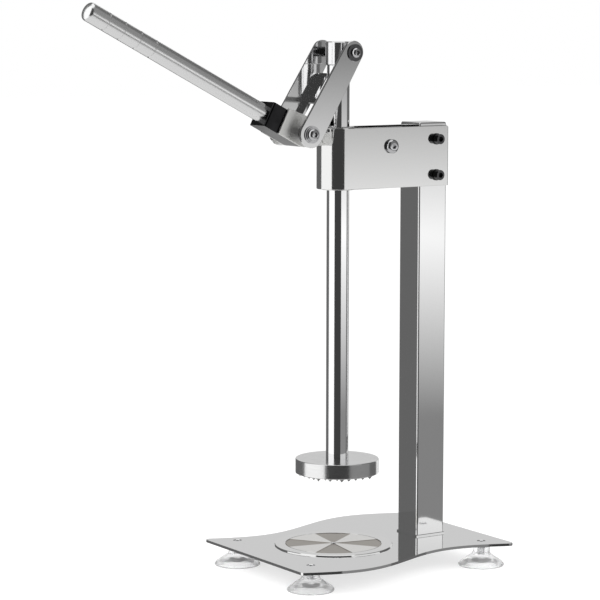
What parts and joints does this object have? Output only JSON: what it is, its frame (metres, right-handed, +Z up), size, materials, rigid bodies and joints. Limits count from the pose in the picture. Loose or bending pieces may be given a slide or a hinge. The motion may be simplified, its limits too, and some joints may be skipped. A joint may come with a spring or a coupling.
{
  "type": "vertical lever press stand",
  "caption": "Free-standing lever press: crank handle and link drive a round rod with a toothed presser down onto a platen on a suction-footed plate.",
  "frame": {"origin": "middle of the whole part's footprint, on the surface that the suction cups rest on", "axes": "+Z up, +X from the plunger towards the column, the handle points to -X, the two yoke plates face -Y and +Y"},
  "size_m": [0.4916, 0.245, 0.6356],
  "materials": {
    "plate_steel": "polished stainless sheet",
    "fastener_steel": "stainless fasteners",
    "cup_rubber": "clear soft PVC",
    "turned_steel": "turned stainless",
    "sector_steel": "turned stainless with alternating dark and bright sectors",
    "column_steel": "polished square tube",
    "strap_steel": "satin stainless strap",
    "bush_brass": "plain bearing bush",
    "dark_fastener": "dark plated fasteners",
    "lever_black": "dark gloss folded channel",
    "yoke_steel": "satin stainless, mirror inner faces",
    "handle_chrome": "polished bar with grip grooves",
    "rod_chrome": "hard chromed bar",
    "foot_steel": "brushed turned disc"
  },
  "bodies": {
    "frame": {"base_plate": "plate_steel", "foot_screws": "fastener_steel", "foot_collars": "fastener_steel", "suction_cups": "cup_rubber", "platen_ring": "turned_steel", "platen_disc": "sector_steel", "platen_screw": "fastener_steel", "platen_nut": "fastener_steel", "column_foot": "column_steel", "column_tube": "column_steel", "column_screws": "fastener_steel", "column_cap": "column_steel", "head_strap": "strap_steel", "guide_sleeve": "strap_steel", "guide_bush_lower": "bush_brass", "guide_bush_upper": "bush_brass", "clamp_bolt": "fastener_steel", "clamp_washers": "fastener_steel", "clamp_nut": "fastener_steel", "clamp_spacer": "fastener_steel", "column_bolts": "dark_fastener", "column_bolt_washers": "fastener_steel", "column_bolt_nuts": "dark_fastener", "pivot_ears": "strap_steel", "lever_pivot_pin": "fastener_steel", "pivot_clips": "fastener_steel"},
    "lever": {"lever_channel": "lever_black", "lever_cheeks": "yoke_steel", "handle_rod": "handle_chrome", "handle_washer": "fastener_steel", "handle_nut": "fastener_steel"},
    "plunger": {"plunger_rod": "rod_chrome", "plunger_head": "rod_chrome", "presser_foot": "foot_steel", "presser_screw": "fastener_steel"},
    "yoke": {"link_yoke": "yoke_steel", "top_link_bolt": "fastener_steel", "top_link_washers": "fastener_steel", "top_link_nut": "fastener_steel", "top_link_spacers": "fastener_steel", "lower_link_bolt": "fastener_steel", "lower_link_washers": "fastener_steel", "lower_link_nut": "fastener_steel", "lower_link_spacers": "fastener_steel"}
  },
  "joints": [
    {"name": "lever_hinge", "type": "hinge", "parent": "frame", "child": "lever", "pos_m": [0.04428, 0, 0.4865], "axis": [0, -1, 0], "range_deg": [-10, 45]},
    {"name": "plunger_slide", "type": "slide", "parent": "frame", "child": "plunger", "axis": [0, 0, 1], "range_m": [-0.0225, 0.0055]},
    {"name": "yoke_hinge", "type": "hinge", "parent": "plunger", "child": "yoke", "pos_m": [0.07278, 0, 0.581], "axis": [0, -1, 0], "range_deg": [-1, 2]}
  ],
  "couplings": [
    {"joint": "plunger_slide", "follows": "lever_hinge", "m_per_rad": -0.025779},
    {"joint": "yoke_hinge", "follows": "lever_hinge", "ratio": 0.023542}
  ]
}
